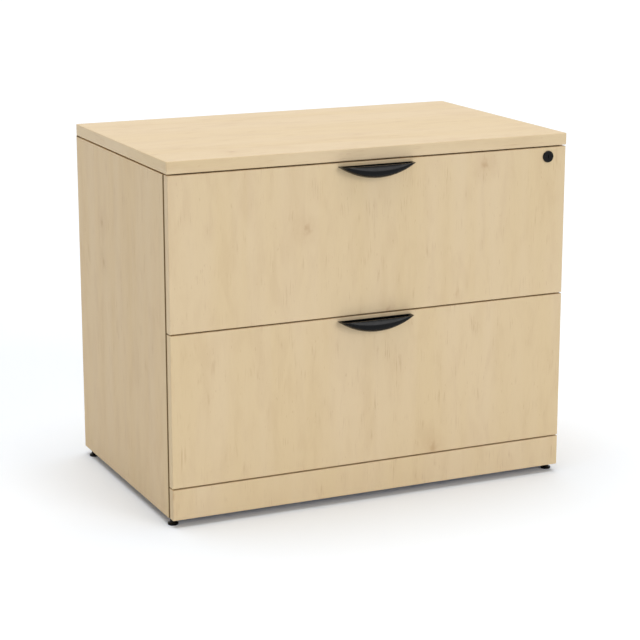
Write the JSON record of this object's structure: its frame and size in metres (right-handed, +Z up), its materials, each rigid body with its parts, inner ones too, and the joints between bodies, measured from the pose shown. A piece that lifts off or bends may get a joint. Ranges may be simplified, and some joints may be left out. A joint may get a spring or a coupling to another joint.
{
  "type": "lateral filing cabinet",
  "caption": "Low wide office filing cabinet in pale maple laminate with stacked full-width drawers, black half-moon pulls, a key lock and levelling glides.",
  "frame": {"origin": "on the floor, at the middle of the rectangle that the closed cabinet covers, pulls included", "axes": "+Z up, +X to the right as seen from the front, drawers open towards -Y"},
  "size_m": [0.9018, 0.5868, 0.7493],
  "materials": {
    "maple_laminate": "satin maple woodgrain laminate",
    "maple_edge_band": "maple woodgrain edge band, satin",
    "drawer_box_board": "pale maple melamine board",
    "drawer_bottom_board": "smooth coated hardboard",
    "black_plastic": "fine-textured moulded plastic",
    "black_lock": "semi-gloss black",
    "slide_steel": "zinc-plated, rolled",
    "zinc_steel": "zinc-plated",
    "cast_zinc": "die-cast, dull",
    "bumper_rubber": "soft translucent grey"
  },
  "bodies": {
    "cabinet": {"top_panel": "maple_laminate", "top_edge_band": "maple_edge_band", "left_side_panel": "maple_laminate", "right_side_panel": "maple_laminate", "back_panel": "maple_laminate", "bottom_panel": "maple_laminate", "base_rail": "maple_laminate", "top_front_stretcher": "maple_laminate", "top_back_stretcher": "maple_laminate", "upper_left_cabinet_channel": "slide_steel", "upper_right_cabinet_channel": "slide_steel", "lower_left_cabinet_channel": "slide_steel", "lower_right_cabinet_channel": "slide_steel", "cam_fittings": "cast_zinc", "base_rail_brackets": "zinc_steel", "case_screws": "zinc_steel", "cabinet_channel_screws": "zinc_steel", "glide_inserts": "zinc_steel", "lock_strike": "zinc_steel"},
    "upper_drawer": {"upper_front": "maple_laminate", "upper_pull": "black_plastic", "upper_pull_screws": "zinc_steel", "upper_front_screws": "zinc_steel", "upper_bumpers": "bumper_rubber", "upper_box_front": "drawer_box_board", "upper_box_left_side": "drawer_box_board", "upper_box_right_side": "drawer_box_board", "upper_box_back": "drawer_box_board", "upper_box_bottom": "drawer_bottom_board", "upper_file_rails": "zinc_steel", "upper_left_drawer_channel": "slide_steel", "upper_right_drawer_channel": "slide_steel", "upper_channel_screws": "zinc_steel", "lock_housing": "black_lock", "lock_nut": "zinc_steel"},
    "upper_mid_channels": {"upper_left_mid_channel": "slide_steel", "upper_right_mid_channel": "slide_steel"},
    "lower_drawer": {"lower_front": "maple_laminate", "lower_pull": "black_plastic", "lower_pull_screws": "zinc_steel", "lower_front_screws": "zinc_steel", "lower_bumpers": "bumper_rubber", "lower_box_front": "drawer_box_board", "lower_box_left_side": "drawer_box_board", "lower_box_right_side": "drawer_box_board", "lower_box_back": "drawer_box_board", "lower_box_bottom": "drawer_bottom_board", "lower_file_rails": "zinc_steel", "lower_left_drawer_channel": "slide_steel", "lower_right_drawer_channel": "slide_steel", "lower_channel_screws": "zinc_steel"},
    "lower_mid_channels": {"lower_left_mid_channel": "slide_steel", "lower_right_mid_channel": "slide_steel"},
    "lock_plug": {"lock_plug": "black_lock", "lock_cam": "zinc_steel", "cam_screw": "zinc_steel"},
    "front_left_glide": {"front_left_glide": "black_plastic"},
    "front_right_glide": {"front_right_glide": "black_plastic"},
    "back_left_glide": {"back_left_glide": "black_plastic"},
    "back_right_glide": {"back_right_glide": "black_plastic"}
  },
  "joints": [
    {"name": "upper_drawer_slide", "type": "slide", "parent": "cabinet", "child": "upper_drawer", "axis": [0, -1, 0], "range_m": [0, 0.48]},
    {"name": "upper_mid_slide", "type": "slide", "parent": "cabinet", "child": "upper_mid_channels", "axis": [0, -1, 0], "range_m": [0, 0.24]},
    {"name": "lower_drawer_slide", "type": "slide", "parent": "cabinet", "child": "lower_drawer", "axis": [0, -1, 0], "range_m": [0, 0.48]},
    {"name": "lower_mid_slide", "type": "slide", "parent": "cabinet", "child": "lower_mid_channels", "axis": [0, -1, 0], "range_m": [0, 0.24]},
    {"name": "lock_turn", "type": "hinge", "parent": "upper_drawer", "child": "lock_plug", "pos_m": [0.40535, -0.2401, 0.7018], "axis": [0, -1, 0], "range_deg": [0, 90]},
    {"name": "front_left_glide_turn", "type": "hinge", "parent": "cabinet", "child": "front_left_glide", "pos_m": [-0.43885, -0.2359, 0], "axis": [0, 0, 1], "continuous": true},
    {"name": "front_right_glide_turn", "type": "hinge", "parent": "cabinet", "child": "front_right_glide", "pos_m": [0.43885, -0.2359, 0], "axis": [0, 0, 1], "continuous": true},
    {"name": "back_left_glide_turn", "type": "hinge", "parent": "cabinet", "child": "back_left_glide", "pos_m": [-0.43885, 0.2654, 0], "axis": [0, 0, 1], "continuous": true},
    {"name": "back_right_glide_turn", "type": "hinge", "parent": "cabinet", "child": "back_right_glide", "pos_m": [0.43885, 0.2654, 0], "axis": [0, 0, 1], "continuous": true}
  ],
  "couplings": [
    {"joint": "upper_mid_slide", "follows": "upper_drawer_slide", "ratio": 0.5},
    {"joint": "lower_mid_slide", "follows": "lower_drawer_slide", "ratio": 0.5}
  ]
}
